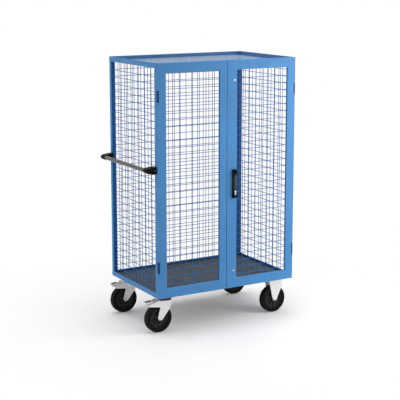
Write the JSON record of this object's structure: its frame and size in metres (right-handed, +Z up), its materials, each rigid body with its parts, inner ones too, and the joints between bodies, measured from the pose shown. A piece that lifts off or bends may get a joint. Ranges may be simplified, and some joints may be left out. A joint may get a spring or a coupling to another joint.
{
  "type": "cabinet cart",
  "caption": "Tall wire-mesh cabinet cart with double doors, a rod lock with swing lever, a side push handle, braked swivel casters and fixed casters.",
  "frame": {"origin": "on the floor under the middle of the bounding box, doors shut", "axes": "+Z up, -Y the doors' side, -X the push handle's side"},
  "size_m": [1.1936, 0.7562, 1.8863],
  "materials": {
    "blue_paint": "light blue powder coat",
    "mesh_wire": "light blue powder coat on wire",
    "deck_board": "dark grey film-faced plywood",
    "black_plastic": "fine grain",
    "zinc": "bright zinc plated",
    "bright_steel": "bright",
    "handle_grey": "grey satin",
    "tyre_rubber": "solid black rubber",
    "hub_plastic": "moulded"
  },
  "bodies": {
    "cart": {"base_rail_front": "blue_paint", "base_rail_left": "blue_paint", "base_rail_rear": "blue_paint", "base_rail_right": "blue_paint", "caster_beam_left": "blue_paint", "caster_beam_right": "blue_paint", "fixed_axle_front": "bright_steel", "fixed_axle_rear": "bright_steel", "fixed_fork_front": "zinc", "fixed_fork_rear": "zinc", "floor_board": "deck_board", "handle_bracket_front": "black_plastic", "handle_bracket_rear": "black_plastic", "handle_tube": "handle_grey", "hinge_post_half_left_lower": "blue_paint", "hinge_post_half_left_upper": "blue_paint", "hinge_post_half_right_lower": "blue_paint", "hinge_post_half_right_upper": "blue_paint", "post_front_left": "blue_paint", "post_front_right": "blue_paint", "post_rear_left": "blue_paint", "post_rear_right": "blue_paint", "rear_mesh": "mesh_wire", "roof_mesh": "mesh_wire", "side_mesh_left": "mesh_wire", "side_mesh_right": "mesh_wire", "swivel_plate_front": "zinc", "swivel_plate_rear": "zinc", "top_rim": "blue_paint"},
    "door_left": {"door_frame_left": "blue_paint", "door_mesh_left": "mesh_wire", "hinge_door_half_left_lower": "blue_paint", "hinge_door_half_left_upper": "blue_paint"},
    "door_right": {"door_frame_right": "blue_paint", "door_mesh_right": "mesh_wire", "hinge_door_half_right_lower": "blue_paint", "hinge_door_half_right_upper": "blue_paint", "lock_cylinder": "zinc", "lock_escutcheon": "black_plastic", "rod_guide_lower": "zinc", "rod_guide_upper": "zinc"},
    "lock_turn": {"lock_spindle": "black_plastic"},
    "lever": {"lock_lever": "black_plastic"},
    "key_plug": {"lock_plug": "zinc"},
    "rod_upper": {"lock_rod_upper": "zinc"},
    "rod_lower": {"lock_rod_lower": "zinc"},
    "swivel_front": {"swivel_fork_front": "zinc", "swivel_axle_front": "bright_steel"},
    "pedal_front": {"brake_pedal_front": "zinc"},
    "swivel_wheel_front": {"tyre_swivel_front": "tyre_rubber", "hub_swivel_front": "hub_plastic"},
    "fixed_wheel_front": {"tyre_fixed_front": "tyre_rubber", "hub_fixed_front": "hub_plastic"},
    "swivel_rear": {"swivel_fork_rear": "zinc", "swivel_axle_rear": "bright_steel"},
    "pedal_rear": {"brake_pedal_rear": "zinc"},
    "swivel_wheel_rear": {"tyre_swivel_rear": "tyre_rubber", "hub_swivel_rear": "hub_plastic"},
    "fixed_wheel_rear": {"tyre_fixed_rear": "tyre_rubber", "hub_fixed_rear": "hub_plastic"}
  },
  "joints": [
    {"name": "door_left_hinge", "type": "hinge", "parent": "cart", "child": "door_left", "pos_m": [-0.51425, -0.34935, 0.2663], "axis": [0, 0, -1], "range_deg": [0, 180]},
    {"name": "door_right_hinge", "type": "hinge", "parent": "cart", "child": "door_right", "pos_m": [0.58975, -0.34935, 0.2663], "axis": [0, 0, 1], "range_deg": [0, 180]},
    {"name": "lock_turn_joint", "type": "hinge", "parent": "door_right", "child": "lock_turn", "pos_m": [0.08475, -0.36215, 1.1013], "axis": [0, -1, 0], "range_deg": [0, 90]},
    {"name": "lever_tilt", "type": "hinge", "parent": "lock_turn", "child": "lever", "pos_m": [0.08475, -0.37015, 1.0813], "axis": [-1, 0, 0], "range_deg": [0, 35]},
    {"name": "key_turn", "type": "hinge", "parent": "door_right", "child": "key_plug", "pos_m": [0.08475, -0.37815, 0.9673], "axis": [0, -1, 0], "range_deg": [0, 90]},
    {"name": "rod_upper_slide", "type": "slide", "parent": "door_right", "child": "rod_upper", "axis": [0, 0, -1], "range_m": [0, 0.0185]},
    {"name": "rod_lower_slide", "type": "slide", "parent": "door_right", "child": "rod_lower", "axis": [0, 0, 1], "range_m": [0, 0.0185]},
    {"name": "swivel_front_joint", "type": "hinge", "parent": "cart", "child": "swivel_front", "pos_m": [-0.41225, -0.25185, 0.2275], "axis": [0, 0, 1], "continuous": true},
    {"name": "pedal_front_joint", "type": "hinge", "parent": "swivel_front", "child": "pedal_front", "pos_m": [-0.48025, -0.25185, 0.2295], "axis": [0, -1, 0], "range_deg": [0, 12]},
    {"name": "swivel_wheel_front_spin", "type": "hinge", "parent": "swivel_front", "child": "swivel_wheel_front", "pos_m": [-0.47025, -0.25185, 0.1], "axis": [0, 1, 0], "continuous": true},
    {"name": "fixed_wheel_front_spin", "type": "hinge", "parent": "cart", "child": "fixed_wheel_front", "pos_m": [0.48775, -0.25185, 0.1], "axis": [0, 1, 0], "continuous": true},
    {"name": "swivel_rear_joint", "type": "hinge", "parent": "cart", "child": "swivel_rear", "pos_m": [-0.41225, 0.28915, 0.2275], "axis": [0, 0, 1], "continuous": true},
    {"name": "pedal_rear_joint", "type": "hinge", "parent": "swivel_rear", "child": "pedal_rear", "pos_m": [-0.48025, 0.28915, 0.2295], "axis": [0, -1, 0], "range_deg": [0, 12]},
    {"name": "swivel_wheel_rear_spin", "type": "hinge", "parent": "swivel_rear", "child": "swivel_wheel_rear", "pos_m": [-0.47025, 0.28915, 0.1], "axis": [0, 1, 0], "continuous": true},
    {"name": "fixed_wheel_rear_spin", "type": "hinge", "parent": "cart", "child": "fixed_wheel_rear", "pos_m": [0.48775, 0.28915, 0.1], "axis": [0, 1, 0], "continuous": true}
  ],
  "couplings": [
    {"joint": "rod_upper_slide", "follows": "lock_turn_joint", "m_per_rad": 0.0115},
    {"joint": "rod_lower_slide", "follows": "lock_turn_joint", "m_per_rad": 0.0115}
  ]
}
